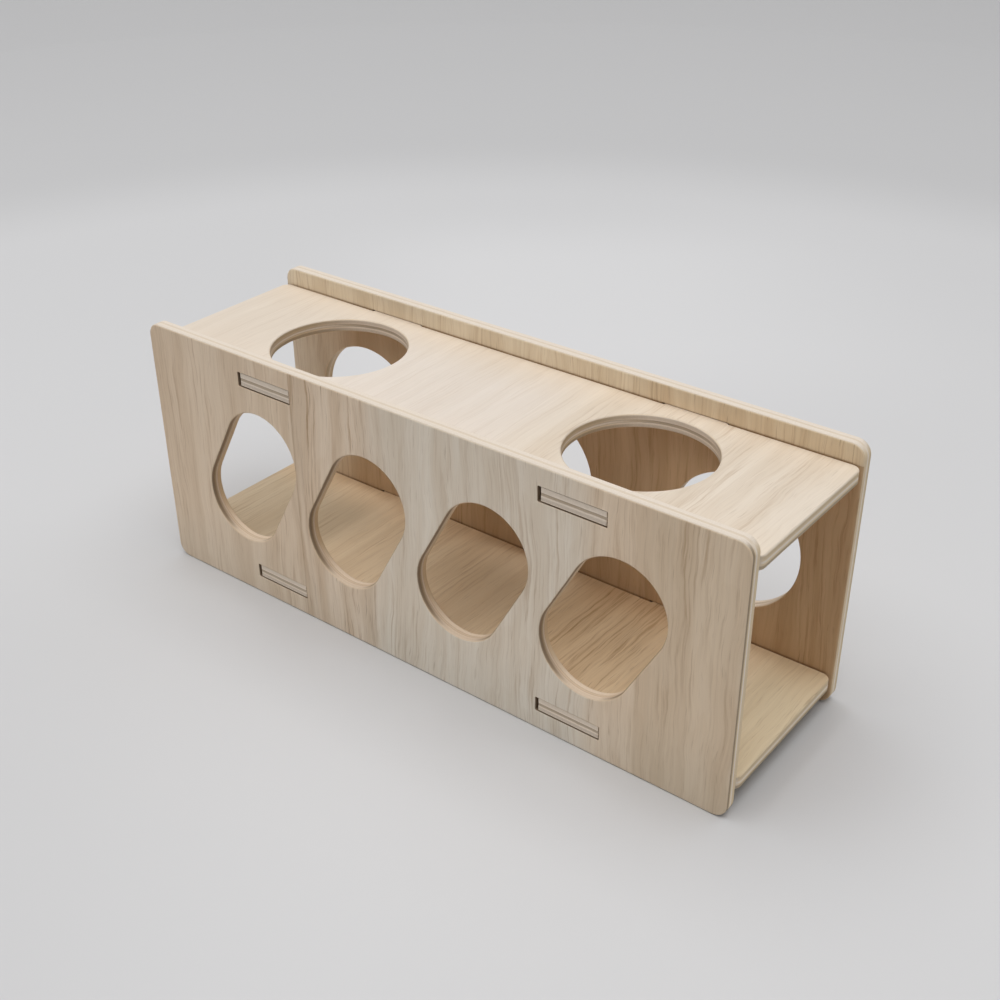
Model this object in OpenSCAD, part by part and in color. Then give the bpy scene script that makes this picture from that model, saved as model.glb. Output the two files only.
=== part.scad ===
// A tunnel maze for a hamster, cut from plywood sheet and pushed together without screws.
// Two upright side panels are held apart by a roof and a raised floor, whose tabs go through
// slots in the sides. The front panel has a row of leaning windows, the rear panel a row of
// round ones, and the roof two round hatches. Both ends of the tunnel are open. Every edge
// that the animal rubs against is sanded round, and the tabs and slots stay sharp.
// X runs along the tunnel, Y from the front panel to the rear panel, and Z up from the table.
// The origin lies on the table, under the middle of the maze.

/* [Overall size] */
// Length of the tunnel from end to end
length = 200; // [185:1:260]
// Depth over the outer faces of both side panels
depth = 60; // [54:1:90]
// Height of the side panels
height = 80; // [70:1:110]

/* [Plywood] */
// Thickness of the sheet that every panel is cut from
sheet_t = 4; // [3:0.1:6]
// Rounding of the side panels' corners
side_corner_r = 4; // [1.5:0.5:8]
// Rounding of the roof's and the floor's corners
deck_corner_r = 2.5; // [1.5:0.5:8]
// Radius of the sanded edges
edge_r = 0.6; // [0.2:0.1:1.2]

/* [Front windows] */
// Number of leaning windows in the front panel
window_count = 4; // [1:1:4]
// Spacing of the windows along the panel
window_pitch = 41; // [38:0.5:44]
// Width of a window, between its straight sides
window_w = 28; // [18:0.5:32]
// Length of a window, over its round ends
window_l = 47; // [36:0.5:54]
// Lean of a window from upright, in degrees
window_lean = 29; // [0:1:35]

/* [Rear windows] */
// Number of round windows in the rear panel
rear_window_count = 3; // [1:1:3]
// Spacing of the round windows along the panel
rear_window_pitch = 66.5; // [48:0.5:70]
// Diameter of a round window
rear_window_d = 40; // [28:0.5:46]

/* [Roof hatches] */
// Diameter of a hatch in the roof
hatch_d = 40; // [28:0.5:44]
// Distance of a hatch's centre from the middle of the roof
hatch_offset = 52; // [30:0.5:70]

/* [Tabs and slots] */
// Length of a tab on the roof or the floor
tab_l = 19.2; // [10:0.1:30]
// Distance of a tab's centre from the middle of the roof or the floor
tab_offset = 52.4; // [25:0.1:75]
// Depth of a tab's end below the side panel's outer face
tab_recess = 0.2; // [0:0.05:1]
// Distance of a slot from the upper or the lower edge of a side panel
slot_inset = 5.6; // [3:0.1:9]
// Gap in a slot past the tab's left end
slot_gap_left = 0.9; // [0.1:0.1:1.5]
// Gap in a slot past the tab's right end
slot_gap_right = 0.3; // [0.1:0.1:1.5]
// Gap in a slot under the tab
slot_gap_below = 0.5; // [0.1:0.1:1.5]
// Rounding of a slot's corners
slot_corner_r = 0.3; // [0.1:0.05:0.5]
// Gap between the roof's or the floor's long edge and a side panel
shoulder_gap = 0.4; // [0:0.05:0.9]

/* [Hidden] */
$fn = 96;

// Heights of the slots, and of the two decks that hang from the slots' upper edges
slot_h = sheet_t + slot_gap_below;
lower_slot_z = slot_inset;
upper_slot_z = height - slot_inset - slot_h;
floor_z = lower_slot_z + slot_gap_below;
roof_z = upper_slot_z + slot_gap_below;

// The windows lie at the middle of the clear height between the floor and the roof
window_z = (floor_z + sheet_t + roof_z) / 2;
window_straight = window_l - window_w;

// A slot is its tab with a gap at each end, and its corners stay clear of the tab
slot_l = slot_gap_left + tab_l + slot_gap_right;
slot_shift = (slot_gap_right - slot_gap_left) / 2;
slot_r = min(slot_corner_r, slot_gap_left, slot_gap_right);

// The decks fill the space between the side panels, and their tabs reach almost to the outside
deck_w = depth - 2 * sheet_t - 2 * shoulder_gap;
tab_span = depth - 2 * tab_recess;

// How far a cut runs past the faces of the sheet that it goes through
past = 1;

// Rectangle with round corners, centred on the origin
module rounded_rectangle(size_x, size_y, radius) {
    square([size_x - 2 * radius, size_y], center = true);
    square([size_x, size_y - 2 * radius], center = true);
    for (side_x = [-1, 1], side_y = [-1, 1])
        translate([side_x * (size_x / 2 - radius), side_y * (size_y / 2 - radius)])
            circle(r = radius);
}

// Places its child at each step of an even row along X, centred on the origin
module row(count, pitch) {
    for (step = [0 : count - 1])
        translate([(step - (count - 1) / 2) * pitch, 0, 0])
            children();
}

// Repeats a cut at the upper face of a sheet on its lower face, where the sheet stands on z = 0
module both_faces() {
    translate([0, 0, sheet_t])
        children();
    mirror([0, 0, 1])
        children();
}

// Section of what sanding takes off an edge at the origin: the corner outside a quarter circle
module sanded_corner() {
    difference() {
        translate([-edge_r, -edge_r])
            square(edge_r + past);
        translate([-edge_r, -edge_r])
            circle(r = edge_r);
    }
}

// Sanding along a straight edge on X, centred on the origin, with the sheet towards -Y and -Z
module sanded_run(run) {
    rotate([90, 0, 90])
        linear_extrude(height = run, center = true)
            sanded_corner();
}

// Sanding round an outer corner, a quarter turn about the middle of its rounding
module sanded_turn(radius) {
    rotate_extrude(angle = 90)
        translate([radius, 0])
            sanded_corner();
}

// Sanding round the rim of a round hole
module sanded_rim(radius) {
    rotate_extrude()
        translate([radius, 0])
            mirror([1, 0])
                sanded_corner();
}

// Sanding round the outline of a rectangular sheet with round corners
module sanded_outline(size_x, size_y, radius) {
    for (turn = [0, 180])
        rotate(turn) {
            translate([0, size_y / 2, 0])
                sanded_run(size_x - 2 * radius);
            translate([size_x / 2, 0, 0])
                rotate(-90)
                    sanded_run(size_y - 2 * radius);
            translate([size_x / 2 - radius, size_y / 2 - radius, 0])
                sanded_turn(radius);
            translate([radius - size_x / 2, size_y / 2 - radius, 0])
                rotate(90)
                    sanded_turn(radius);
        }
}

// Flat sheet with round corners, whose outline is sanded on both faces
module sanded_sheet(size_x, size_y, radius) {
    difference() {
        linear_extrude(height = sheet_t)
            rounded_rectangle(size_x, size_y, radius);
        both_faces()
            sanded_outline(size_x, size_y, radius);
    }
}

// Cut of a round hole through a sheet, whose rim is sanded on both faces
module round_window(diameter) {
    translate([0, 0, -past])
        cylinder(d = diameter, h = sheet_t + 2 * past);
    both_faces()
        sanded_rim(diameter / 2);
}

// Cut of a window with straight sides and round ends, its upper end leaning to the right
module leaning_window() {
    rotate(-window_lean) {
        translate([0, 0, sheet_t / 2])
            cube([window_w, window_straight, sheet_t + 2 * past], center = true);
        for (end = [-1, 1])
            translate([0, end * window_straight / 2, 0])
                round_window(window_w);
        both_faces()
            for (turn = [-90, 90])
                rotate(turn)
                    translate([0, -window_w / 2, 0])
                        sanded_run(window_straight);
    }
}

// Cuts of the four slots in a side panel, whose lower edge lies on X
module tab_slots() {
    for (side = [-1, 1], slot_z = [lower_slot_z, upper_slot_z])
        translate([side * tab_offset + slot_shift, slot_z + slot_h / 2, -past])
            linear_extrude(height = sheet_t + 2 * past)
                rounded_rectangle(slot_l, slot_h, slot_r);
}

// Side panel with its slots and its own windows cut out, stood up with its rear face at a depth
module side_panel(rear_y) {
    translate([0, rear_y, 0])
        rotate([90, 0, 0])
            difference() {
                translate([0, height / 2, 0])
                    sanded_sheet(length, height, side_corner_r);
                tab_slots();
                translate([0, window_z, 0])
                    children();
            }
}

// Roof or floor: a plate with two tabs on each long edge, whose underside lies at a height
module deck(under_z) {
    translate([0, 0, under_z]) {
        sanded_sheet(length, deck_w, deck_corner_r);
        for (side = [-1, 1])
            translate([side * tab_offset, 0, sheet_t / 2])
                cube([tab_l, tab_span, sheet_t], center = true);
    }
}

module front_panel() {
    color([0.70, 0.63, 0.54])
        side_panel(sheet_t - depth / 2)
            row(window_count, window_pitch)
                leaning_window();
}

module rear_panel() {
    color([0.72, 0.62, 0.50])
        side_panel(depth / 2)
            row(rear_window_count, rear_window_pitch)
                round_window(rear_window_d);
}

module roof_panel() {
    color([0.88, 0.84, 0.77])
        difference() {
            deck(roof_z);
            for (side = [-1, 1])
                translate([side * hatch_offset, 0, roof_z])
                    round_window(hatch_d);
        }
}

module floor_panel() {
    color([0.74, 0.64, 0.51])
        deck(floor_z);
}

front_panel();
rear_panel();
roof_panel();
floor_panel();
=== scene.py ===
"""Looks of a wooden hamster maze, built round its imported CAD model.

Four panels of veneered three-ply sheet push together: two upright side panels, a roof and a raised
floor. Each panel is made here as a sheet with its windows, slots and tabs cut, its edges sanded, its
glue lines open and its core a little back, and it stands for the CAD panel in the same place.
A panel's lengths are in millimetres until its mesh is written in metres, and the stage's are in
metres. On a sheet, X runs across the grain of the face veneer, Y along it and Z up through the
thickness.
"""

import math

import bpy
import numpy as np
from mathutils import Matrix, Vector, noise
from mathutils.geometry import delaunay_2d_cdt
from mathutils.kdtree import KDTree


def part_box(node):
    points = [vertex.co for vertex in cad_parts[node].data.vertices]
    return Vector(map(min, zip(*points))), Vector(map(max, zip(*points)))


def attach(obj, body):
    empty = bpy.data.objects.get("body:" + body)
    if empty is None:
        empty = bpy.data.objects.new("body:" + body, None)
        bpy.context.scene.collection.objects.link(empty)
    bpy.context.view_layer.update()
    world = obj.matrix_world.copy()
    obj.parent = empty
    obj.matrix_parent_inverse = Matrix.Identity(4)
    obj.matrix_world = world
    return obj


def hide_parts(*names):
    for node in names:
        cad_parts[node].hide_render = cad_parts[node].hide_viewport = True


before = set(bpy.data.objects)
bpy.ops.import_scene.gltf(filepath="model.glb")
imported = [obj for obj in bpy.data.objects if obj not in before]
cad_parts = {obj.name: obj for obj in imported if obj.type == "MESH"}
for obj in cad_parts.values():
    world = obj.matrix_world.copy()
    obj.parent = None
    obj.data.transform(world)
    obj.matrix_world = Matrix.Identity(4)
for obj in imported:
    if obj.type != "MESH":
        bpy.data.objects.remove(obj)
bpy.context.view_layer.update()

MM = 0.001
UP = Vector((0.0, 0.0, 1.0))
WHITE = (1.0, 1.0, 1.0, 1.0)
QUARTER_TURN = math.radians(90.0)

# Camera of the photograph: where it looks, from how far and in which direction
CAMERA_TARGET = Vector((28.316, -27.144, 64.223))
CAMERA_DISTANCE = 343.504
CAMERA_AZIMUTH = 38.074
CAMERA_ELEVATION = 30.647
CAMERA_ROLL = -0.31
CAMERA_LENS = 49.41
CAMERA_SENSOR = 36.0
CAMERA_CLIP = 0.01

# Plywood: its face veneer, the heights of the core's two glue lines, and how a cut edge is worn
VENEER_T = 0.36
GLUE_LINES = (1.65, 2.35)
GLUE_HALF_W = 0.1
GLUE_DEPTH = 0.1
CORE_BACK = 0.05
SANDED_LINES = 0.4
SANDED_R = 0.55
SHARP_R = 0.12
SAND_WOBBLE = 0.12
SAND_SCALE = 0.11
RAW_BELOW = 0.2
RAW_BROWNING_AND_SHADE = 0.14

# How far the cutter browned each kind of opening, from 0 to 1, and so how much painted shade darkens its
# walls
SLOT_BROWNING_AND_SHADE = 1.0
WINDOW_BROWNING_AND_SHADE = 0.58
REAR_WINDOW_BROWNING_AND_SHADE = 0.3
HATCH_BROWNING_AND_SHADE = 0.2

# Bare wood: its shine, and the relief of its grain
WOOD_IOR = 1.42
WOOD_SHINE = 0.35
RELIEF_STRENGTH = 0.35
RELIEF_DEPTH = 0.15

# Corners in a panel's outline
SIDE_CORNER_R = 4.0
DECK_CORNER_R = 2.5
SLOT_CORNER_R = 0.3
TAB_CORNER_R = 0.25
TAB_ROOT_R = 0.3

# Front windows, rear windows and roof hatches
WINDOW_COUNT = 4
WINDOW_PITCH = 41.0
WINDOW_W = 28.0
WINDOW_L = 47.0
WINDOW_LEAN = 29.0
REAR_WINDOW_COUNT = 3
REAR_WINDOW_PITCH = 66.5
REAR_WINDOW_D = 40.0
HATCH_D = 40.0
HATCH_OFFSET = 52.0

# Tabs of the roof and the floor, and the slots that they go through
TAB_L = 19.2
TAB_OFFSET = 52.4
SLOT_GAP_LEFT = 0.9
SLOT_GAP_RIGHT = 0.3
SLOT_GAP_BELOW = 0.32
SLOT_GAP_ABOVE = 0.12
SHOULDER_GAP = 0.4

# How finely the meshes are cut
ARC_STEP = 0.7
ARC_LEAST = 4
RUN_STEP = 3.0
EASE_STEPS = 5
FACE_GRID = 6.0
GRID_CLEARANCE = 2.5
SAME_SPOT = 1e-4
MERGE_GAP = SAME_SPOT / 100

# Paper of the stage: its shine, and how far it lies under the maze
PAPER_GAP = 0.00005
PAPER_ROUGHNESS = 0.85
PAPER_SHINE = 0.2

# Light: the softbox, the sky near the horizon, half way up and overhead, and where it changes
BOX_POWER = 9.4
BOX_PLACE = (-0.07, -0.18, 1.2)
BOX_WIDTH = 1.5
BOX_DEPTH = 1.4
SKY_LOW = 0.08
SKY_MID = 0.22
SKY_HIGH = 1.15
SKY_MID_RISE = (0.25, 0.50)
SKY_HIGH_RISE = (0.65, 0.90)

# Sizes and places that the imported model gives
front_low, front_high = [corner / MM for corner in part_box("front_panel")]
rear_low, rear_high = [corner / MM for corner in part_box("rear_panel")]
roof_low, roof_high = [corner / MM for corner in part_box("roof_panel")]
floor_low, floor_high = [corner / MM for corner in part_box("floor_panel")]
LENGTH = front_high.x - front_low.x
HEIGHT = front_high.z - front_low.z
SHEET_T = front_high.y - front_low.y
TAB_SPAN = roof_high.y - roof_low.y
DECK_W = rear_low.y - front_high.y - 2 * SHOULDER_GAP
WINDOW_Z = (floor_high.z + roof_low.z) / 2


def rounded_loop(corners):
    """Closed outline through corners, anticlockwise, each (x, y, radius, sanding before, sanding after).

    Each point is (x, y, outward x, outward y, sanding), where sanding is the radius of the worn edge.
    """
    arcs = []
    for place, (x, y, radius, before, after) in enumerate(corners):
        here = Vector((x, y))
        came = (here - Vector(corners[place - 1][:2])).normalized()
        goes = (Vector(corners[(place + 1) % len(corners)][:2]) - here).normalized()
        turn = math.atan2(came.x * goes.y - came.y * goes.x, came.dot(goes))
        side = math.copysign(1.0, turn)
        left = Vector((-came.y, came.x))
        middle = here - came * radius * math.tan(abs(turn) / 2) + left * radius * side
        first = math.atan2(-came.x, came.y)
        steps = max(ARC_LEAST, math.ceil(radius * abs(turn) / ARC_STEP))
        arc = []
        for step in range(steps + 1):
            share = step / steps
            out_x = math.cos(first + turn * share)
            out_y = math.sin(first + turn * share)
            sanding = before + (after - before) * share
            spot = (middle.x + out_x * radius * side, middle.y + out_y * radius * side)
            arc.append((*spot, out_x, out_y, sanding))
        arcs.append(arc)
    points = []
    for place, arc in enumerate(arcs):
        points += arc
        ahead = arcs[(place + 1) % len(arcs)][0]
        gap = math.dist(arc[-1][:2], ahead[:2])
        if gap < SAME_SPOT:
            points.pop()
            continue
        runs = math.ceil(gap / RUN_STEP)
        for step in range(1, runs):
            share = step / runs
            points.append(tuple(a + (b - a) * share for a, b in zip(arc[-1], ahead)))
    return points


def rounded_box(middle_x, middle_y, size_x, size_y, radius, sanding, lean=0.0):
    """Outline of a rectangle with round corners, leaning to the right by an angle in degrees."""
    cos_lean = math.cos(math.radians(lean))
    sin_lean = math.sin(math.radians(lean))
    corners = []
    for side_x, side_y in ((-1, -1), (1, -1), (1, 1), (-1, 1)):
        x = side_x * size_x / 2
        y = side_y * size_y / 2
        spot_x = middle_x + x * cos_lean + y * sin_lean
        spot_y = middle_y - x * sin_lean + y * cos_lean
        corners.append((spot_x, spot_y, radius, sanding, sanding))
    return rounded_loop(corners)


def round_hole(middle_x, middle_y, diameter):
    """Outline of a round window or hatch with a sanded rim."""
    return rounded_box(middle_x, middle_y, diameter, diameter, diameter / 2, SANDED_R)


def row_of(count, pitch):
    """Places along X of an even row about the middle of a panel."""
    return [(step - (count - 1) / 2) * pitch for step in range(count)]


def side_outline():
    """Outline of a side panel, whose lower edge lies on X."""
    return rounded_box(0.0, HEIGHT / 2, LENGTH, HEIGHT, SIDE_CORNER_R, SANDED_R)


def tab_slots():
    """Outlines of the four slots in a side panel."""
    slot_l = SLOT_GAP_LEFT + TAB_L + SLOT_GAP_RIGHT
    slot_h = SLOT_GAP_ABOVE + SHEET_T + SLOT_GAP_BELOW
    shift = (SLOT_GAP_RIGHT - SLOT_GAP_LEFT) / 2
    slots = []
    for deck_top in (floor_high.z, roof_high.z):
        for side in (-1, 1):
            middle_x = side * TAB_OFFSET + shift
            middle_z = deck_top + SLOT_GAP_ABOVE - slot_h / 2
            slots.append(rounded_box(middle_x, middle_z, slot_l, slot_h, SLOT_CORNER_R, SHARP_R))
    return slots


def front_windows():
    """Outlines of the leaning windows, with straight sides and round ends."""
    return [rounded_box(x, WINDOW_Z, WINDOW_W, WINDOW_L, WINDOW_W / 2, SANDED_R, WINDOW_LEAN)
            for x in row_of(WINDOW_COUNT, WINDOW_PITCH)]


def rear_windows():
    """Outlines of the round windows."""
    return [round_hole(x, WINDOW_Z, REAR_WINDOW_D)
            for x in row_of(REAR_WINDOW_COUNT, REAR_WINDOW_PITCH)]


def roof_hatches():
    """Outlines of the round hatches."""
    return [round_hole(side * HATCH_OFFSET, 0.0, HATCH_D) for side in (-1, 1)]


def deck_outline():
    """Outline of the roof or the floor, with two tabs on each long edge."""
    half_l = LENGTH / 2
    half_w = DECK_W / 2
    reach = TAB_SPAN / 2
    corners = []
    for side in (-1, 1):
        corners.append((side * half_l, side * half_w, DECK_CORNER_R, SANDED_R, SHARP_R))
        for tab in (-1, 1):
            start = -side * (TAB_OFFSET * tab - TAB_L / 2)
            end = -side * (TAB_OFFSET * tab + TAB_L / 2)
            corners.append((start, side * half_w, TAB_ROOT_R, SHARP_R, SHARP_R))
            corners.append((start, side * reach, TAB_CORNER_R, SHARP_R, SHARP_R))
            corners.append((end, side * reach, TAB_CORNER_R, SHARP_R, SHARP_R))
            corners.append((end, side * half_w, TAB_ROOT_R, SHARP_R, SHARP_R))
        corners.append((-side * half_l, side * half_w, DECK_CORNER_R, SHARP_R, SANDED_R))
    return rounded_loop(corners)


def hand_sanded(loop, seed):
    """The same outline, sanded a little more or less from place to place."""
    sanded = []
    for x, y, out_x, out_y, sanding in loop:
        more = noise.noise(Vector((x * SAND_SCALE, y * SAND_SCALE, seed)))
        sanded.append((x, y, out_x, out_y, sanding * (1 + SAND_WOBBLE * more)))
    return sanded


def as_hole(loop):
    """The same outline as the rim of a hole: run backwards, with its outward side in the hole."""
    return [(x, y, -out_x, -out_y, sanding) for x, y, out_x, out_y, sanding in reversed(loop)]


def edge_stations(sanding):
    """Heights and setbacks up a cut edge: a worn corner, two glue lines about the core, a worn corner."""
    turns = [math.pi / 2 * step / EASE_STEPS for step in range(EASE_STEPS + 1)]
    below = [(sanding * (1 - math.cos(turn)), sanding * (1 - math.sin(turn))) for turn in turns]
    above = [(SHEET_T - height, back) for height, back in reversed(below)]
    lower, upper = GLUE_LINES
    left_open = 1.0 if sanding < RAW_BELOW else SANDED_LINES
    core_back = CORE_BACK * left_open
    glue_back = GLUE_DEPTH * left_open
    plies = [
        (lower - GLUE_HALF_W, 0.0),
        (lower, glue_back),
        (lower + GLUE_HALF_W, core_back),
        (upper - GLUE_HALF_W, core_back),
        (upper, glue_back),
        (upper + GLUE_HALF_W, 0.0),
    ]
    return below + plies + above


def edge_slopes():
    """For each strip up a cut edge, how far its normal tips up at its lower and its upper side."""
    stations = edge_stations(SANDED_R)
    slopes = []
    for (low, low_back), (high, high_back) in zip(stations, stations[1:]):
        slope = math.atan2(high_back - low_back, high - low)
        slopes.append((slope, slope))
    for step in range(EASE_STEPS):
        lower = -math.pi / 2 * (1 - step / EASE_STEPS)
        upper = -math.pi / 2 * (1 - (step + 1) / EASE_STEPS)
        slopes[step] = (lower, upper)
        slopes[-1 - step] = (-upper, -lower)
    return slopes


def in_material(rims, spots):
    """Which spots lie on the sheet, by counting the rims between a spot and the far right."""
    starts = np.concatenate([np.array(rim) for rim in rims])
    ends = np.concatenate([np.roll(np.array(rim), -1, axis=0) for rim in rims])
    x = spots[:, 0, None]
    y = spots[:, 1, None]
    spans = (starts[:, 1] > y) != (ends[:, 1] > y)
    rise = ends[:, 1] - starts[:, 1]
    rise = np.where(rise == 0.0, 1.0, rise)
    crossing = starts[:, 0] + (y - starts[:, 1]) / rise * (ends[:, 0] - starts[:, 0])
    return (spans & (crossing > x)).sum(axis=1) % 2 == 1


def face_triangles(rims):
    """Triangles that fill a face of the sheet between its rims, and the extra points inside it."""
    rim_spots = [spot for rim in rims for spot in rim]
    near = KDTree(len(rim_spots))
    for place, (x, y) in enumerate(rim_spots):
        near.insert((x, y, 0.0), place)
    near.balance()
    low = np.min(rim_spots, axis=0)
    high = np.max(rim_spots, axis=0)
    grid_x = np.arange(low[0] + FACE_GRID / 2, high[0], FACE_GRID)
    grid_y = np.arange(low[1] + FACE_GRID / 2, high[1], FACE_GRID)
    grid = np.array([(x, y) for x in grid_x for y in grid_y])
    inner = []
    for x, y in grid[in_material(rims, grid)]:
        _, _, gap = near.find((x, y, 0.0))
        if gap > GRID_CLEARANCE:
            inner.append((x, y))
    spots = rim_spots + inner
    edges = []
    start = 0
    for rim in rims:
        edges += [(start + i, start + (i + 1) % len(rim)) for i in range(len(rim))]
        start += len(rim)
    cut = delaunay_2d_cdt([Vector(spot) for spot in spots], edges, [], 0, MERGE_GAP)
    _, _, cut_faces, sources, _, _ = cut
    corners = [[sources[corner][0] for corner in face] for face in cut_faces]
    middles = np.array([np.mean([spots[corner] for corner in face], axis=0) for face in corners])
    kept = in_material(rims, middles)
    return [face for face, keep in zip(corners, kept) if keep], inner


def cut_sheet(name, cuts, origin, turn, finish):
    """Panel cut from the sheet: its outline and holes swept up the cut edge, and its two faces filled.

    Each cut is an outline and how far its edge is browned and painted with shade, from 0 to 1. An edge
    left unsanded is browned a little.
    """
    stations = len(edge_stations(SANDED_R))
    slopes = edge_slopes()
    spots = []
    faces = []
    normals = []
    rims = []
    browning_and_shade = []
    for loop, browned_and_shaded in cuts:
        first = len(spots)
        for x, y, out_x, out_y, sanding in loop:
            spots += [Vector((x - out_x * back, y - out_y * back, height))
                      for height, back in edge_stations(sanding)]
        rims.append([(spots[first + i * stations].x, spots[first + i * stations].y)
                     for i in range(len(loop))])
        outward = [Vector((out_x, out_y, 0.0)) for _, _, out_x, out_y, _ in loop]
        for here, (_, _, _, _, sanding) in enumerate(loop):
            after = (here + 1) % len(loop)
            tone = max(browned_and_shaded, RAW_BROWNING_AND_SHADE) if sanding < RAW_BELOW else browned_and_shaded
            for strip, (lower, upper) in enumerate(slopes):
                here_low = first + here * stations + strip
                after_low = first + after * stations + strip
                faces.append((here_low, after_low, after_low + 1, here_low + 1))
                for spot, slope in ((here, lower), (after, lower), (after, upper), (here, upper)):
                    normals.append(outward[spot] * math.cos(slope) + UP * math.sin(slope))
                browning_and_shade.append(tone)
    triangles, inner = face_triangles(rims)
    rim_count = len(spots) // stations
    for lift, height in ((0, 0.0), (1, SHEET_T)):
        inner_first = len(spots)
        spots += [Vector((x, y, height)) for x, y in inner]
        for triangle in triangles:
            corners = [corner * stations + lift * (stations - 1) if corner < rim_count
                       else inner_first + corner - rim_count for corner in triangle]
            faces.append(corners if lift else corners[::-1])
            normals += [UP if lift else -UP] * 3
            browning_and_shade.append(0.0)
    mesh = bpy.data.meshes.new(name)
    mesh.from_pydata([(turn @ spot + origin) * MM for spot in spots], [], faces)
    mesh.polygons.foreach_set("use_smooth", [True] * len(mesh.polygons))
    mesh.normals_split_custom_set([turn @ normal for normal in normals])
    mesh.attributes.new("browned_and_shaded", "FLOAT", "FACE").data.foreach_set("value", browning_and_shade)
    mesh.materials.append(finish)
    mesh.validate()
    panel = bpy.data.objects.new(name, mesh)
    bpy.context.scene.collection.objects.link(panel)
    return panel


class Wiring:
    """Adds nodes to one node tree and hands back their outputs."""

    MIX_FACTOR = 0
    MIX_FIRST = 6
    MIX_SECOND = 7
    MIX_RESULT = 2
    NOISE_MIDDLE = 0.5

    def __init__(self, tree):
        self.tree = tree

    def node(self, kind, values, **settings):
        """A node with its settings, and each input set to a value or fed by another node's output."""
        node = self.tree.nodes.new(kind)
        for setting, value in settings.items():
            setattr(node, setting, value)
        self.feed(node, values)
        return node

    def feed(self, node, values):
        """Sets each named input of a node to a value, or links it to another node's output."""
        for socket, value in values.items():
            if isinstance(value, bpy.types.NodeSocket):
                self.tree.links.new(value, node.inputs[socket])
            else:
                node.inputs[socket].default_value = value

    def math(self, operation, *values):
        """Arithmetic on one to three numbers."""
        return self.node("ShaderNodeMath", dict(enumerate(values)), operation=operation).outputs[0]

    def product(self, first, *others):
        """Numbers multiplied together."""
        for other in others:
            first = self.math("MULTIPLY", first, other)
        return first

    def distance(self, value, middle):
        """How far one number lies from another."""
        return self.math("ABSOLUTE", self.math("SUBTRACT", value, middle))

    def diagonal(self, first, second):
        """Length of the diagonal over two sides."""
        squares = self.math("ADD", self.product(first, first), self.product(second, second))
        return self.math("SQRT", squares)

    def vector(self, operation, *values):
        """Arithmetic on vectors."""
        return self.node("ShaderNodeVectorMath", dict(enumerate(values)), operation=operation).outputs[0]

    def scaled(self, colour, factor):
        """A colour made lighter or darker."""
        return self.node("ShaderNodeVectorMath", {0: colour, "Scale": factor}, operation="SCALE").outputs[0]

    def parts(self, place):
        """The three parts of a vector."""
        return self.node("ShaderNodeSeparateXYZ", {0: place}).outputs

    def joined(self, x, y, z):
        """A vector of three parts."""
        return self.node("ShaderNodeCombineXYZ", {0: x, 1: y, 2: z}).outputs[0]

    def rise(self, value, low, high):
        """0 up to low and 1 from high, smooth between; it falls where low is the greater."""
        values = {"Value": value, "From Min": low, "From Max": high}
        return self.node("ShaderNodeMapRange", values, interpolation_type="SMOOTHSTEP").outputs[0]

    def span(self, value, low, high):
        """A mask from 0 to 1 spread evenly between two numbers."""
        values = {"Value": value, "To Min": low, "To Max": high}
        return self.node("ShaderNodeMapRange", values).outputs[0]

    def noise(self, place, pace, seed, detail, roughness=0.5):
        """Soft noise from 0 to 1 that changes at its own pace along each axis."""
        scaled = self.vector("MULTIPLY", place, pace)
        values = {"Vector": scaled, "W": seed, "Scale": 1.0, "Detail": detail, "Roughness": roughness}
        return self.node("ShaderNodeTexNoise", values, noise_dimensions="4D").outputs[0]

    def sway(self, place, pace, seed, detail):
        """Soft noise to either side of 0."""
        return self.math("SUBTRACT", self.noise(place, pace, seed, detail), self.NOISE_MIDDLE)

    def mix(self, share, first, second, kind="MIX"):
        """Two colours mixed by a share, or put together in another way."""
        values = {self.MIX_FACTOR: share, self.MIX_FIRST: first, self.MIX_SECOND: second}
        node = self.node("ShaderNodeMix", values, data_type="RGBA", blend_type=kind)
        return node.outputs[self.MIX_RESULT]

    def tint(self, share, colour, tint):
        """A colour with a tint over it, by a share."""
        return self.mix(share, colour, tint, "MULTIPLY")


def new_group(name, inputs, outputs):
    """An empty node group with named sockets, its wiring, its inputs and its output node."""
    tree = bpy.data.node_groups.new(name, "ShaderNodeTree")
    for socket, kind in inputs.items():
        tree.interface.new_socket(socket, in_out="INPUT", socket_type="NodeSocket" + kind)
    for socket, kind in outputs.items():
        tree.interface.new_socket(socket, in_out="OUTPUT", socket_type="NodeSocket" + kind)
    given = tree.nodes.new("NodeGroupInput").outputs
    return tree, Wiring(tree), given, tree.nodes.new("NodeGroupOutput")


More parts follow.
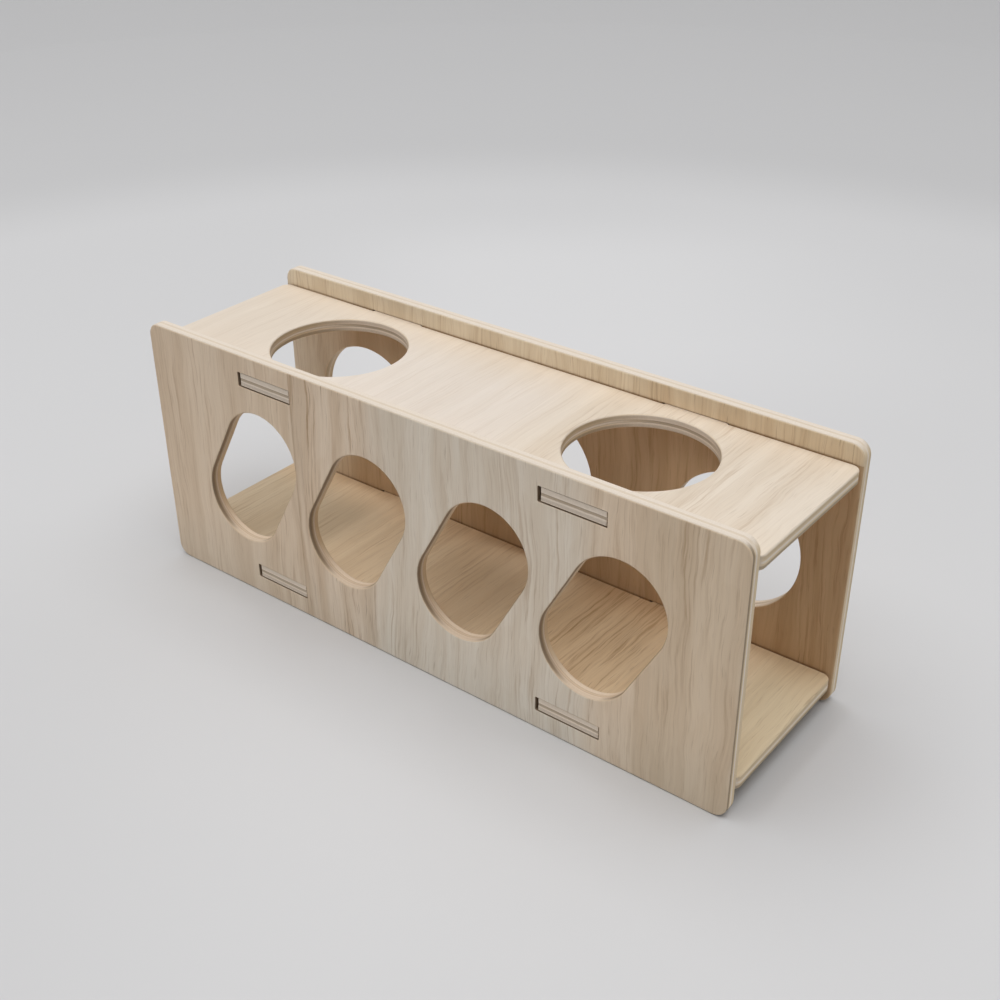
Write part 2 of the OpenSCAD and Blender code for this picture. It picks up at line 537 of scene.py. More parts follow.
def make_veneer_group():
    """Sliced veneer in sheet millimetres: bands, growth rings, streaks, fibres, pores and slow clouds, with
    painted light and shade over its tone.
    """
    band_tint = (0.84, 0.79, 0.73, 1.0)
    ring_tint = (0.80, 0.72, 0.62, 1.0)
    streak_tint = (0.66, 0.56, 0.46, 1.0)
    pore_tint = (0.52, 0.42, 0.33, 1.0)
    joint_tint = (0.90, 0.885, 0.865, 1.0)
    hair_tint = (0.90, 0.87, 0.84, 1.0)
    # Painted shade where the long edge of a deck meets a side panel
    deck_shade_tint = (0.74, 0.66, 0.58, 1.0)

    # How quickly each figure changes per millimetre across the grain, along it and through the sheet
    drift_pace = (0.03, 0.011, 0.05)
    waver_pace = (0.10, 0.045, 0.05)
    curl_pace = (0.3, 0.11, 0.05)
    ring_pace = (0.16, 0.006, 0.1)
    band_pace = (0.19, 0.006, 0.1)
    cluster_pace = (0.13, 0.012, 0.1)
    streak_pace = (1.4, 0.042, 0.4)
    fibre_pace = (3.2, 0.06, 1.0)
    pore_pace = (3.6, 0.13, 1.0)
    cloud_pace = (0.022, 0.012, 0.05)

    # Levels of the noise, or of a ring's year, at which a figure begins and is full
    band_levels = (0.36, 0.64)
    cluster_levels = (0.40, 0.60)
    streak_levels = (0.47, 0.71)
    pore_levels = (0.62, 0.76)
    late_begins = (0.25, 0.92)
    late_ends = (1.0, 0.93)

    # How much the figures bend, lighten, roughen and raise the wood
    next_leaf = 7.3
    waver_share = 0.28
    curl_reach = 1.6
    ring_waver = 3.2
    cluster_gain = (0.35, 1.25)
    cloud_light = (0.95, 1.06)
    fibre_light = (-0.08, 0.08)
    fibre_roughness = (0.56, 0.72)
    streak_roughness = 0.06
    fibre_height = 0.6
    pore_depth = 0.5
    streak_depth = 0.15

    # Millimetres over which the tones change at their borders, at the joint and where shade is painted
    # beside a deck
    border_waver = 22.0
    patch_blur = 7.0
    bold_blur = 5.0
    end_blur = 16.0
    beside_joint = 2.5
    joint_shade = (6.0, 0.5)
    joint_hair = (0.45, 0.1)
    deck_shade_over = (0.5, 0.05)
    deck_shade_ends = (LENGTH / 2 - 1.0, LENGTH / 2 - 4.0)

    inputs = {
        "Place": "Vector", "Seed": "Float", "Upper": "Color", "Under": "Color",
        "Patch Colour": "Color", "Patch Middle": "Float", "Patch Half Width": "Float",
        "Bold Tint": "Color", "Bold Middle": "Float", "Bold Half Width": "Float", "Bold Gain": "Float",
        "Shade Edge Colour": "Color", "Shade Edge Start": "Float", "Shade Edge End": "Float",
        "Foot Shade Tint": "Color", "Foot Shade Height": "Float", "End Shade Tint": "Color", "End Shade Start": "Float",
        "Lower Deck": "Float", "Upper Deck": "Float",
        "Shaded Side": "Float", "Joint": "Float", "Wander": "Float",
        "Ring Pitch": "Float", "Heart Across": "Float", "Heart Depth": "Float", "Taper": "Float",
        "Band Share": "Float", "Ring Share": "Float", "Streak Share": "Float", "Pore Share": "Float",
    }
    outputs = {"Colour": "Color", "Roughness": "Float", "Height": "Float"}
    tree, wire, given, out = new_group("veneer", inputs, outputs)
    place = given["Place"]
    x, y, z = wire.parts(place)

    # Two leaves of veneer meet at a straight joint and come from different parts of the log
    second_leaf = wire.math("GREATER_THAN", x, given["Joint"])
    seed = wire.math("MULTIPLY_ADD", second_leaf, next_leaf, given["Seed"])

    # The grain drifts sideways over a hand's width, wavers over a finger's and curls over less
    drift = wire.sway(place, drift_pace, seed, detail=2.0)
    waver = wire.sway(place, waver_pace, seed, detail=1.0)
    bend = wire.math("MULTIPLY_ADD", waver, waver_share, drift)
    curl = wire.sway(place, curl_pace, seed, detail=2.0)
    bent = wire.math("MULTIPLY_ADD", bend, given["Wander"], x)
    across = wire.math("MULTIPLY_ADD", curl, curl_reach, bent)
    grain = wire.joined(across, y, z)

    # Growth rings of a log sliced flat, whose late wood ends at a sharp line
    depth = wire.math("MULTIPLY_ADD", y, given["Taper"], given["Heart Depth"])
    reach = wire.math("SUBTRACT", across, given["Heart Across"])
    radius = wire.diagonal(depth, reach)
    unevenness = wire.product(wire.noise(grain, ring_pace, seed, detail=1.0), ring_waver)
    turns = wire.math("ADD", wire.math("DIVIDE", radius, given["Ring Pitch"]), unevenness)
    year = wire.math("FRACT", turns)
    late = wire.product(wire.rise(year, *late_begins), wire.rise(year, *late_ends))

    # Soft bands a few millimetres wide, streaks that lie in clusters, fibres, and pores in short lines
    bands = wire.rise(wire.noise(grain, band_pace, seed, detail=2.0, roughness=0.6), *band_levels)
    cluster = wire.rise(wire.noise(grain, cluster_pace, seed, detail=2.0), *cluster_levels)
    streaks = wire.rise(wire.noise(grain, streak_pace, seed, detail=4.0, roughness=0.62), *streak_levels)
    streaks = wire.product(streaks, wire.span(cluster, *cluster_gain))
    fibres = wire.noise(grain, fibre_pace, seed, detail=3.0, roughness=0.6)
    pores = wire.rise(wire.noise(grain, pore_pace, seed, detail=1.0), *pore_levels)
    clouds = wire.noise(place, cloud_pace, seed, detail=2.0)

    # The tone changes in a patch, on the under face and where the grain is bolder; painted shade and light
    # change it along one edge of the shaded side, and painted shade darkens the foot and the right end
    cloud_sway = wire.math("SUBTRACT", clouds, wire.NOISE_MIDDLE)
    shifted = wire.math("MULTIPLY_ADD", cloud_sway, border_waver, x)
    from_patch = wire.distance(shifted, given["Patch Middle"])
    past_patch = wire.math("SUBTRACT", from_patch, given["Patch Half Width"])
    patch = wire.rise(past_patch, patch_blur, -patch_blur)
    from_bold = wire.distance(shifted, given["Bold Middle"])
    past_bold = wire.math("SUBTRACT", from_bold, given["Bold Half Width"])
    bolder = wire.rise(past_bold, bold_blur, -bold_blur)
    bold = wire.math("MULTIPLY_ADD", bolder, given["Bold Gain"], 1.0)
    colour = wire.mix(patch, given["Upper"], given["Patch Colour"])
    colour = wire.mix(wire.math("LESS_THAN", z, 0.0), colour, given["Under"])
    # On the shaded side the colour changes past an edge: a side panel's lip over the roof is paler than its
    # inner face, which is painted dark as shade, and a deck is painted darker near the rear panel
    shaded_side = wire.math("GREATER_THAN", wire.product(z, given["Shaded Side"]), 0.0)
    past_shade_edge = wire.product(shaded_side, wire.rise(y, given["Shade Edge Start"], given["Shade Edge End"]))
    colour = wire.mix(past_shade_edge, colour, given["Shade Edge Colour"])
    colour = wire.tint(bolder, colour, given["Bold Tint"])
    # Painted shade darkens the face towards its foot
    colour = wire.tint(wire.rise(y, given["Foot Shade Height"], 0.0), colour, given["Foot Shade Tint"])
    # Painted shade darkens the wood towards the right end, and on the floor makes it a little less orange
    past_start = wire.math("SUBTRACT", shifted, given["End Shade Start"])
    colour = wire.tint(wire.rise(past_start, 0.0, end_blur), colour, given["End Shade Tint"])

    # The figures lie over the tone, stronger where the grain is bolder
    marks = ((bands, "Band Share", band_tint), (late, "Ring Share", ring_tint),
             (streaks, "Streak Share", streak_tint), (pores, "Pore Share", pore_tint))
    for mark, share, tint in marks:
        colour = wire.tint(wire.product(mark, given[share], bold), colour, tint)
    lightness = wire.math("ADD", wire.span(clouds, *cloud_light), wire.span(fibres, *fibre_light))
    colour = wire.scaled(colour, lightness)

    # The joint itself is a hair line, and the wood beside it is a little darker
    from_joint = wire.distance(x, given["Joint"])
    from_beside = wire.distance(across, wire.math("ADD", given["Joint"], beside_joint))
    colour = wire.tint(wire.rise(from_beside, *joint_shade), colour, joint_tint)
    colour = wire.tint(wire.rise(from_joint, *joint_hair), colour, hair_tint)

    # Painted shade darkens the inner face along the line where the long edge of a deck meets it, away from
    # the panel's ends
    inside = wire.product(shaded_side, wire.rise(wire.math("ABSOLUTE", x), *deck_shade_ends))
    for deck in ("Lower Deck", "Upper Deck"):
        over = wire.math("SUBTRACT", y, given[deck])
        behind = wire.math("GREATER_THAN", over, -SHEET_T)
        deck_shaded = wire.product(wire.rise(over, *deck_shade_over), behind, inside)
        colour = wire.tint(deck_shaded, colour, deck_shade_tint)
    colour = wire.mix(1.0, colour, WHITE, "DARKEN")

    more_rough = wire.product(streaks, streak_roughness)
    roughness = wire.math("ADD", wire.span(fibres, *fibre_roughness), more_rough)
    height = wire.math("SUBTRACT", wire.product(fibres, fibre_height), wire.product(pores, pore_depth))
    height = wire.math("SUBTRACT", height, wire.product(streaks, streak_depth))
    wire.feed(out, {"Colour": colour, "Roughness": roughness, "Height": height})
    return tree


def make_cut_edge_group():
    """Cut edge in sheet millimetres: face veneers, two plies with a thin core between, glue lines, and a
    dark burnt colour of browning and painted shade.
    """
    half_t = SHEET_T / 2
    core_middle = (GLUE_LINES[0] + GLUE_LINES[1]) / 2 - half_t
    core_half = (GLUE_LINES[1] - GLUE_LINES[0]) / 2
    pit_tint = (0.95, 0.93, 0.91, 1.0)
    line_tint = (0.96, 0.94, 0.91, 1.0)
    core_tint = (0.63, 0.60, 0.57, 1.0)
    sanded_tint = (0.795, 0.795, 0.80, 1.0)
    toast_tint = (1.0, 0.87, 0.72, 1.0)

    # How quickly each figure changes per millimetre along X, along Y and through the sheet
    ply_pace = (0.12, 0.12, 0.0)
    face_pace = (0.5, 0.5, 0.0)
    speckle_pace = (2.6, 2.6, 3.4)
    along_y_pace = (2.0, 0.1, 4.0)
    along_x_pace = (0.1, 2.0, 4.0)

    # Millimetres over which the layers waver, and over which one changes to the next
    ply_waver = (-0.2, 0.2)
    core_blur = 0.08
    glue_fade = (0.2, 0.05)
    veneer_waver = (-0.05, 0.05)
    veneer_blur = 0.06
    veneer_wrap = (VENEER_T / 4, VENEER_T)
    line_depth = VENEER_T + 0.33
    line_fade = (0.75, 0.22)
    burnt_shade_rise = (-0.5, 1.35)

    # Levels of facing, browning and noise at which an edge begins to change and has changed
    end_facing = (0.25, 0.95)
    unburnt_levels = (0.5, 0.1)
    raw_levels = (0.0, RAW_BROWNING_AND_SHADE)
    opening_levels = (0.25, 0.4)
    burnt_shade_levels = (0.6, 1.0)
    pit_levels = (0.25, 0.7)
    line_levels = (0.42, 0.7)

    # How strongly each effect shows, or between which strengths
    wrap_share = (0.4, 1.0)
    clear_share = (0.15, 1.0)
    pale_share = 0.6
    worn_share = (0.6, 1.0)
    raw_glue = 0.3
    burnt_glue = (0.3, 0.0)
    raw_veneer = (0.0, 0.5)
    toast_share = 0.95
    depth_share = (0.28, 1.0)
    side_share = (0.18, 1.0)
    burnt_shade_gain = (1.0, 2.0)
    speckle_roughness = (0.62, 0.8)
    end_roughness = 0.08
    line_height = 0.4

    inputs = {
        "Place": "Vector", "Facing": "Vector", "Browned And Shaded": "Float", "Seed": "Float",
        "Upper Line": "Float", "Under Line": "Float",
        "End Grain": "Color", "Long Grain": "Color", "Glue": "Color", "Burnt Shade": "Color",
    }
    outputs = {"Colour": "Color", "Face": "Float", "Roughness": "Float", "Height": "Float"}
    tree, wire, given, out = new_group("cut_edge", inputs, outputs)
    place = given["Place"]
    seed = given["Seed"]
    browned_and_shaded = given["Browned And Shaded"]
    z = wire.parts(place)[2]

    # The plies waver a little along the edge
    waver = wire.noise(place, ply_pace, seed, detail=2.0)
    layer = wire.math("ADD", z, wire.span(waver, *ply_waver))
    from_core = wire.distance(layer, core_middle)
    core = wire.rise(from_core, core_half + core_blur, core_half - core_blur)
    in_ply = wire.math("SUBTRACT", 1.0, core)
    glue = wire.rise(wire.distance(from_core, core_half), *glue_fade)

    # The outer plies' grain runs along Y and the core's across it
    facing = wire.parts(wire.vector("ABSOLUTE", given["Facing"]))
    end_of_ply = wire.rise(facing[1], *end_facing)
    end_of_core = wire.rise(facing[0], *end_facing)

    # Sanding leaves the plies hard to tell apart, and an edge as the cutter left it shows them clearly
    unburnt = wire.rise(browned_and_shaded, *unburnt_levels)
    unsanded = wire.math("SUBTRACT", wire.rise(browned_and_shaded, *raw_levels), wire.rise(browned_and_shaded, *opening_levels))
    clear = wire.span(unsanded, *clear_share)
    sanded_end = wire.product(end_of_ply, wire.math("SUBTRACT", 1.0, clear))

    # The face veneer wraps over a worn edge, further on the long grain's upper side, and a dark line
    # lies under it
    veneer_noise = wire.noise(place, face_pace, seed, detail=2.0)
    below_face = wire.math("SUBTRACT", half_t, wire.math("ABSOLUTE", z))
    below_face = wire.math("ADD", below_face, wire.span(veneer_noise, *veneer_waver))
    upper_side = wire.math("GREATER_THAN", z, 0.0)
    worn_side = wire.product(end_of_core, upper_side, wire.span(unburnt, *wrap_share))
    past_wrap = wire.math("SUBTRACT", below_face, wire.span(worn_side, *veneer_wrap))
    face = wire.rise(past_wrap, veneer_blur, -veneer_blur)
    under_veneer = wire.rise(wire.distance(below_face, line_depth), *line_fade)
    upper_more = wire.math("SUBTRACT", given["Upper Line"], given["Under Line"])
    line_strength = wire.math("MULTIPLY_ADD", upper_side, upper_more, given["Under Line"])
    veneer_line = wire.product(under_veneer, line_strength)

    # End grain is paler and speckled, and long grain is lined
    pale_core = wire.math("MAXIMUM", end_of_core, wire.product(end_of_ply, pale_share))
    end = wire.math("ADD", wire.product(pale_core, core), wire.product(end_of_ply, in_ply))
    speckle = wire.noise(place, speckle_pace, seed, detail=3.0, roughness=0.65)
    along_y = wire.noise(place, along_y_pace, seed, detail=3.0, roughness=0.6)
    along_x = wire.noise(place, along_x_pace, seed, detail=3.0, roughness=0.6)
    lines = wire.math("ADD", wire.product(along_x, core), wire.product(along_y, in_ply))
    colour = wire.mix(end, given["Long Grain"], given["End Grain"])
    core_side = wire.product(core, wire.math("SUBTRACT", 1.0, end_of_core))
    colour = wire.tint(wire.product(core_side, clear), colour, core_tint)
    colour = wire.tint(wire.product(end, wire.rise(speckle, *pit_levels)), colour, pit_tint)
    colour = wire.tint(wire.rise(lines, *line_levels), colour, line_tint)
    colour = wire.tint(wire.product(sanded_end, unburnt), colour, sanded_tint)

    # Glue shows between the plies of a raw edge or one browned and painted with shade, and under the veneer
    glue_shows = wire.math("MAXIMUM", wire.product(clear, raw_glue), wire.span(unburnt, *burnt_glue))
    line_shows = wire.math("MAXIMUM", end_of_core, wire.span(clear, *raw_veneer))
    dark_line = wire.math("MAXIMUM", wire.product(glue, glue_shows), wire.product(veneer_line, line_shows))
    colour = wire.mix(wire.product(dark_line, wire.span(speckle, *worn_share)), colour, given["Glue"])

    # Inner cuts are toasted by the cutter, and a dark burnt colour of browning and painted shade lies on
    # the long grain towards the upper face and all through the slots
    toast = wire.math("MINIMUM", wire.product(browned_and_shaded, toast_share), 1.0)
    colour = wire.tint(toast, colour, toast_tint)
    burnt_shade_share = wire.span(wire.rise(z, *burnt_shade_rise), *depth_share)
    burnt_shade_share = wire.product(burnt_shade_share, wire.span(end_of_core, *side_share))
    burnt_shade = wire.product(browned_and_shaded, burnt_shade_share, wire.span(waver, *burnt_shade_gain))
    burnt_shade = wire.math("MAXIMUM", burnt_shade, wire.rise(browned_and_shaded, *burnt_shade_levels))
    colour = wire.mix(wire.math("MINIMUM", burnt_shade, 1.0), colour, given["Burnt Shade"])

    roughness = wire.math("ADD", wire.span(speckle, *speckle_roughness), wire.product(end, end_roughness))
    height = wire.math("ADD", wire.product(speckle, end), wire.product(lines, line_height))
    wire.feed(out, {"Colour": colour, "Face": face, "Roughness": roughness, "Height": height})
    return tree


def plywood(name, stands, middle, edge, veneer):
    """Finish of one panel: its veneer on the faces, and the plies where the sheet is cut."""
    finish = bpy.data.materials.new(name)
    finish.use_nodes = True
    finish.node_tree.nodes.clear()
    wire = Wiring(finish.node_tree)
    turn = (-QUARTER_TURN if stands else 0.0, 0.0, 0.0)
    spot = wire.node("ShaderNodeTexCoord", {}).outputs
    place = wire.node("ShaderNodeMapping", {
        "Vector": spot["Object"], "Location": (0.0, 0.0, -middle),
        "Rotation": turn, "Scale": (1 / MM, 1 / MM, 1 / MM)}).outputs[0]
    facing = wire.node("ShaderNodeMapping", {"Vector": spot["Normal"], "Rotation": turn},
                       vector_type="VECTOR").outputs[0]
    browned_and_shaded = wire.node("ShaderNodeAttribute", {}, attribute_name="browned_and_shaded").outputs["Fac"]
    at_face = veneer | {"Place": place}
    at_cut = edge | {"Place": place, "Facing": facing, "Browned And Shaded": browned_and_shaded}
    skin = wire.node("ShaderNodeGroup", at_face, node_tree=veneer_group).outputs
    rim = wire.node("ShaderNodeGroup", at_cut, node_tree=cut_edge_group).outputs
    colour = wire.mix(rim["Face"], rim["Colour"], skin["Colour"])
    mixed = {}
    for socket in ("Roughness", "Height"):
        more = wire.math("SUBTRACT", skin[socket], rim[socket])
        mixed[socket] = wire.math("MULTIPLY_ADD", more, rim["Face"], rim[socket])
    relief = wire.node("ShaderNodeBump", {
        "Strength": RELIEF_STRENGTH, "Distance": RELIEF_DEPTH * MM, "Height": mixed["Height"]})
    shader = wire.node("ShaderNodeBsdfPrincipled", {
        "Base Color": colour, "Roughness": mixed["Roughness"], "Normal": relief.outputs[0],
        "IOR": WOOD_IOR, "Specular IOR Level": WOOD_SHINE})
    wire.node("ShaderNodeOutputMaterial", {"Surface": shader.outputs[0]})
    return finish


def place_camera():
    """The camera at the photograph's viewing angle."""
    azimuth = math.radians(CAMERA_AZIMUTH)
    elevation = math.radians(CAMERA_ELEVATION)
    roll = math.radians(CAMERA_ROLL)
    back = Vector((math.sin(azimuth) * math.cos(elevation),
                   -math.cos(azimuth) * math.cos(elevation), math.sin(elevation)))
    level = Vector((math.cos(azimuth), math.sin(azimuth), 0.0))
    right = level * math.cos(roll) + back.cross(level) * math.sin(roll)
    up = back.cross(right)
    camera = bpy.data.objects.new("camera", bpy.data.cameras.new("camera"))
    camera.data.sensor_width = CAMERA_SENSOR
    camera.data.lens = CAMERA_LENS
    camera.data.clip_start = CAMERA_CLIP
    turn = Matrix((right, up, back)).transposed().to_4x4()
    spot = (CAMERA_TARGET + back * CAMERA_DISTANCE) * MM
    camera.matrix_world = Matrix.Translation(spot) @ turn
    bpy.context.scene.collection.objects.link(camera)
    bpy.context.scene.camera = camera


def stage_ring(name, profile, closed, finish):
    """A round of the stage swept about the upright axis, with a disc in its middle where it is closed."""
    sides = 96
    spots = []
    for radius, height in profile:
        for step in range(sides):
            angle = 2 * math.pi * step / sides
            spots.append((radius * math.cos(angle), radius * math.sin(angle), height - PAPER_GAP))
    faces = []
    for step in range(sides):
        after = (step + 1) % sides
        for ring in range(len(profile) - 1):
            inner = ring * sides
            outer = inner + sides
            faces.append((inner + step, outer + step, outer + after, inner + after))
    if closed:
        faces.append(tuple(range(sides)))
    mesh = bpy.data.meshes.new(name)
    mesh.from_pydata(spots, [], faces)
    mesh.polygons.foreach_set("use_smooth", [True] * len(mesh.polygons))
    mesh.materials.append(finish)
    stage = bpy.data.objects.new(name, mesh)
    bpy.context.scene.collection.objects.link(stage)
    return stage


def sweep_paper():
    """Pale matt paper with painted shade where it curves up and at the near left, painted light behind the
    middle, and clear from behind so that the underside shows.
    """
    pale = (0.638, 0.637, 0.645, 1.0)
    paler = (0.658, 0.656, 0.663, 1.0)
    # Painted shade at the near left, where the paper curves up and up the wall, and painted light behind
    # the middle
    near_shade_tint = (0.94, 0.94, 0.94, 1.0)
    far_light_tint = (1.08, 1.08, 1.08, 1.0)
    curve_shade_tint = (0.88, 0.88, 0.88, 1.0)
    wall_shade_tint = (0.90, 0.90, 0.90, 1.0)
    cloud_pace = (3.0, 3.0, 3.0)

    # A slant across the floor, and the metres along and across it between which the painted light and shade
    # change
    slant_cos = 0.79
    slant_sin = 0.61
    near_along = (-0.02, -0.13)
    near_away = (0.08, -0.03)
    far_along = (-0.12, 0.0)
    far_along_end = (0.25, 0.06)
    far_away = (0.10, 0.20)
    far_away_end = (0.39, 0.29)
    curve_from = (0.39, 0.47)
    wall_from = (0.45, 0.75)

    paper = bpy.data.materials.new("sweep_paper")
    paper.use_nodes = True
    paper.node_tree.nodes.clear()
    wire = Wiring(paper.node_tree)
    spot = wire.node("ShaderNodeTexCoord", {}).outputs["Object"]
    colour = wire.mix(wire.noise(spot, cloud_pace, 0.0, detail=2.0), pale, paler)
    x, y, _ = wire.parts(spot)
    along = wire.math("MULTIPLY_ADD", x, slant_cos, wire.product(y, slant_sin))
    away = wire.math("MULTIPLY_ADD", y, slant_cos, wire.product(x, -slant_sin))
    # Painted shade at the near left and painted light behind the middle
    near_left_shade = wire.product(wire.rise(along, *near_along), wire.rise(away, *near_away))
    colour = wire.tint(near_left_shade, colour, near_shade_tint)
    far_middle_light = wire.product(wire.rise(away, *far_away), wire.rise(along, *far_along_end),
                              wire.rise(along, *far_along), wire.rise(away, *far_away_end))
    colour = wire.tint(far_middle_light, colour, far_light_tint)
    # Painted shade where the paper curves up and up the wall
    from_middle = wire.diagonal(x, y)
    colour = wire.tint(wire.rise(from_middle, *curve_from), colour, curve_shade_tint)
    colour = wire.tint(wire.rise(from_middle, *wall_from), colour, wall_shade_tint)
    matt = wire.node("ShaderNodeBsdfPrincipled", {
        "Base Color": colour, "Roughness": PAPER_ROUGHNESS, "Specular IOR Level": PAPER_SHINE}).outputs[0]
    clear = wire.node("ShaderNodeBsdfTransparent", {}).outputs[0]
    behind = wire.node("ShaderNodeNewGeometry", {}).outputs["Backfacing"]
    shader = wire.node("ShaderNodeMixShader", {0: behind, 1: matt, 2: clear})
    wire.node("ShaderNodeOutputMaterial", {"Surface": shader.outputs[0]})
    return paper


def studio_sweep():
    """Pale sweep: a floor that curves up into a backdrop, which throws no light back at the object."""
    flat_r = 0.36
    curve_r = 0.55
    wall_top = 0.85
    flat_steps = 6
    curve_steps = 18
    floor_steps = 5
    flat = [(flat_r * step / flat_steps, 0.0) for step in range(1, flat_steps + 1)]
    curve = []
    for step in range(1, curve_steps + 1):
        angle = math.pi / 2 * step / curve_steps
        curve.append((flat_r + curve_r * math.sin(angle), curve_r * (1 - math.cos(angle))))
    wall = [(flat_r + curve_r, wall_top)]
    paper = sweep_paper()
    stage_ring("studio_floor", flat + curve[:floor_steps], True, paper)
    backdrop = stage_ring("studio_backdrop", curve[floor_steps - 1:] + wall, False, paper)
    backdrop.visible_diffuse = False
    backdrop.visible_shadow = False


def studio_light():
    """One large softbox overhead, and a weak light all round that is brighter above."""
    softbox = bpy.data.objects.new("softbox", bpy.data.lights.new("softbox", "AREA"))
    softbox.data.shape = "RECTANGLE"
    softbox.data.size = BOX_WIDTH
    softbox.data.size_y = BOX_DEPTH
    softbox.data.energy = BOX_POWER
    softbox.location = BOX_PLACE
    bpy.context.scene.collection.objects.link(softbox)
    world = bpy.data.worlds.new("studio")
    world.use_nodes = True
    wire = Wiring(world.node_tree)
    up = wire.parts(wire.node("ShaderNodeTexCoord", {}).outputs["Generated"])[2]
    level = wire.math("MULTIPLY_ADD", wire.rise(up, *SKY_MID_RISE), SKY_MID - SKY_LOW, SKY_LOW)
    level = wire.math("MULTIPLY_ADD", wire.rise(up, *SKY_HIGH_RISE), SKY_HIGH - SKY_MID, level)
    wire.feed(world.node_tree.nodes["Background"], {"Color": WHITE, "Strength": level})
    bpy.context.scene.world = world


def add_panel(node, outline, holes, origin, turn, finish):
    """A panel's sheet in place of its CAD node; its holes come in groups, each with a browning and painted
    shade.
    """
    cuts = [(hand_sanded(outline, 0), 0.0)]
    for group, browned_and_shaded in holes:
        cuts += [(as_hole(hand_sanded(loop, seed)), browned_and_shaded)
                 for seed, loop in enumerate(group, len(cuts))]
    panel = cut_sheet(node + "_sheet", cuts, origin, turn, finish)
    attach(panel, "root")
    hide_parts(node)


bpy.context.scene.view_settings.view_transform = "Standard"
place_camera()
studio_sweep()
studio_light()

veneer_group = make_veneer_group()
cut_edge_group = make_cut_edge_group()

plies = {"Seed": 3.0, "End Grain": (0.97, 0.87, 0.755, 1.0), "Long Grain": (0.84, 0.68, 0.465, 1.0),
         "Glue": (0.27, 0.195, 0.125, 1.0), "Burnt Shade": (0.27, 0.195, 0.13, 1.0)}
front_plies = plies | {"Upper Line": 1.0, "Under Line": 0.05}
rear_plies = plies | {"Upper Line": 0.1, "Under Line": 0.3}
deck_plies = plies | {"Upper Line": 0.25, "Under Line": 0.75}

# A mark that a panel doesn't have lies off its sheet or has no tint
nowhere = -999.0
past_end = 998.0
no_foot_shade = {"Foot Shade Tint": WHITE, "Foot Shade Height": 1.0}
no_end_shade = {"End Shade Tint": WHITE, "End Shade Start": past_end}
side_decks = {"Lower Deck": floor_high.z, "Upper Deck": roof_high.z}
no_decks = {"Lower Deck": nowhere, "Upper Deck": nowhere, "Shaded Side": 1.0}

# Each panel's finish, about the middle of its sheet; a side panel's lip starts over the roof, and below it
# the inner face is painted darker as shade
front_middle = SHEET_T / 2 - front_high.y
rear_middle = SHEET_T / 2 - rear_high.y
roof_middle = (roof_low.z + roof_high.z) / 2
floor_middle = (floor_low.z + floor_high.z) / 2
lip_step = 0.01
lip = {"Shade Edge Start": roof_high.z, "Shade Edge End": roof_high.z + lip_step}
# Front panel: its outer face is painted paler and warmer than the roof to stand in for light it lacks, and
# its inner face below the roof is painted darker as shade
front_finish = plywood("front_plywood", True, front_middle, front_plies, side_decks | lip | {
    "Seed": 1.0, "Upper": (0.890, 0.720, 0.545, 1.0), "Under": (0.66, 0.48, 0.29, 1.0),
    "Patch Colour": (0.915, 0.815, 0.685, 1.0), "Patch Middle": 21.0, "Patch Half Width": 35.0,
    "Bold Tint": (1.02, 1.03, 1.05, 1.0), "Bold Middle": -28.0, "Bold Half Width": 15.0, "Bold Gain": 0.7,
    "Shade Edge Colour": (0.90, 0.75, 0.55, 1.0),
    "Foot Shade Tint": (0.92, 0.955, 0.985, 1.0), "Foot Shade Height": 28.0,
    "End Shade Tint": (0.90, 0.895, 0.87, 1.0), "End Shade Start": 66.0,
    "Shaded Side": -1.0, "Joint": -42.5, "Wander": 11.0,
    "Ring Pitch": 3.4, "Heart Across": 60.0, "Heart Depth": 90.0, "Taper": 0.15,
    "Band Share": 0.62, "Ring Share": 0.10, "Streak Share": 0.52, "Pore Share": 0.36})
# Rear panel: its inner face is painted darker as shade below the roof, less towards its open left end, and
# its lip over the roof paler as painted light
rear_finish = plywood("rear_plywood", True, rear_middle, rear_plies, no_foot_shade | side_decks | lip | {
    "Seed": 12.0, "Upper": (0.69, 0.505, 0.325, 1.0), "Under": (0.80, 0.65, 0.49, 1.0),
    "Patch Colour": (0.92, 0.79, 0.62, 1.0), "Patch Middle": -104.0, "Patch Half Width": 25.0,
    "Bold Tint": (0.975, 0.935, 0.885, 1.0), "Bold Middle": 82.0, "Bold Half Width": 40.0, "Bold Gain": 0.2,
    "Shade Edge Colour": (0.94, 0.815, 0.625, 1.0),
    "End Shade Tint": (0.90, 0.885, 0.86, 1.0), "End Shade Start": 68.0,
    "Shaded Side": 1.0, "Joint": nowhere, "Wander": 9.0,
    "Ring Pitch": 4.2, "Heart Across": -70.0, "Heart Depth": 80.0, "Taper": 0.15,
    "Band Share": 0.60, "Ring Share": 0.12, "Streak Share": 0.45, "Pore Share": 0.40})
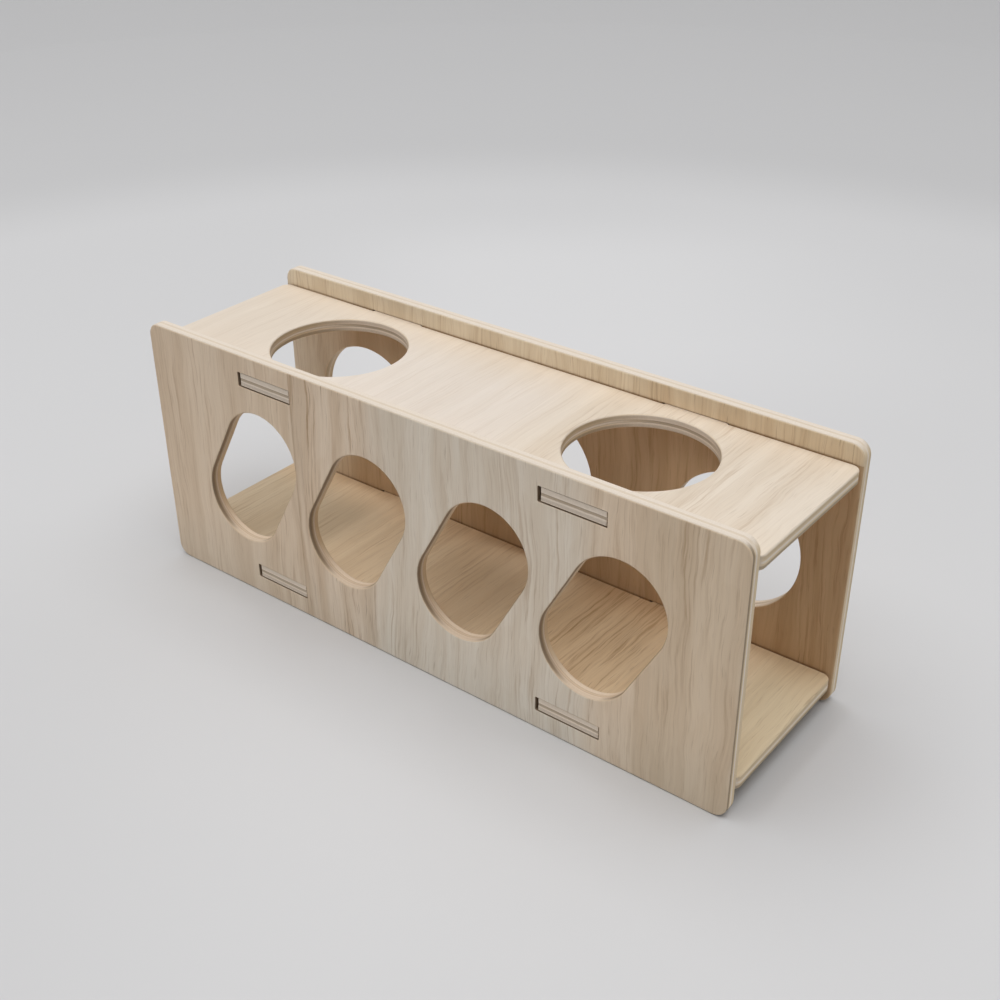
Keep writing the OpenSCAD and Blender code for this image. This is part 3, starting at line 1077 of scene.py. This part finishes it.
# Roof: its underside is painted darker as shade, and its upper face darker and yellower towards the rear
# panel as painted shade and colour bounced from the lip
roof_finish = plywood("roof_plywood", False, roof_middle, deck_plies, no_foot_shade | no_end_shade | no_decks | {
    "Seed": 23.0, "Upper": (0.740, 0.650, 0.550, 1.0), "Under": (0.66, 0.48, 0.29, 1.0),
    "Patch Colour": (0.765, 0.685, 0.605, 1.0), "Patch Middle": -14.0, "Patch Half Width": 34.0,
    "Bold Tint": (1.03, 1.03, 1.02, 1.0), "Bold Middle": 70.0, "Bold Half Width": 42.0, "Bold Gain": 1.4,
    "Shade Edge Colour": (0.728, 0.625, 0.51, 1.0), "Shade Edge Start": 4.0, "Shade Edge End": 26.0,
    "Joint": nowhere, "Wander": 6.0,
    "Ring Pitch": 5.0, "Heart Across": 120.0, "Heart Depth": 80.0, "Taper": 0.15,
    "Band Share": 0.18, "Ring Share": 0.03, "Streak Share": 0.17, "Pore Share": 0.12})
# Floor: its upper face is painted darker towards the rear panel as shade
floor_finish = plywood("floor_plywood", False, floor_middle, deck_plies, no_foot_shade | no_decks | {
    "Seed": 34.0, "Upper": (0.95, 0.785, 0.56, 1.0), "Under": (0.76, 0.62, 0.45, 1.0),
    "Patch Colour": (0.735, 0.615, 0.445, 1.0), "Patch Middle": -95.0, "Patch Half Width": 42.0,
    "Bold Tint": (0.95, 0.91, 0.86, 1.0), "Bold Middle": 46.0, "Bold Half Width": 24.0, "Bold Gain": 0.6,
    "Shade Edge Colour": (0.826, 0.636, 0.426, 1.0), "Shade Edge Start": 6.0, "Shade Edge End": 26.0,
    "End Shade Tint": (0.925, 0.955, 0.95, 1.0), "End Shade Start": 74.0,
    "Joint": nowhere, "Wander": 4.0,
    "Ring Pitch": 3.0, "Heart Across": 75.0, "Heart Depth": 60.0, "Taper": 0.02,
    "Band Share": 0.42, "Ring Share": 0.08, "Streak Share": 0.44, "Pore Share": 0.36})

upright = Matrix.Rotation(QUARTER_TURN, 3, "X")
level = Matrix.Identity(3)
front_holes = [(tab_slots(), SLOT_BROWNING_AND_SHADE), (front_windows(), WINDOW_BROWNING_AND_SHADE)]
rear_holes = [(tab_slots(), SLOT_BROWNING_AND_SHADE), (rear_windows(), REAR_WINDOW_BROWNING_AND_SHADE)]
roof_holes = [(roof_hatches(), HATCH_BROWNING_AND_SHADE)]
add_panel("front_panel", side_outline(), front_holes,
          Vector((0.0, front_high.y, 0.0)), upright, front_finish)
add_panel("rear_panel", side_outline(), rear_holes,
          Vector((0.0, rear_high.y, 0.0)), upright, rear_finish)
add_panel("roof_panel", deck_outline(), roof_holes,
          Vector((0.0, 0.0, roof_low.z)), level, roof_finish)
add_panel("floor_panel", deck_outline(), [],
          Vector((0.0, 0.0, floor_low.z)), level, floor_finish)
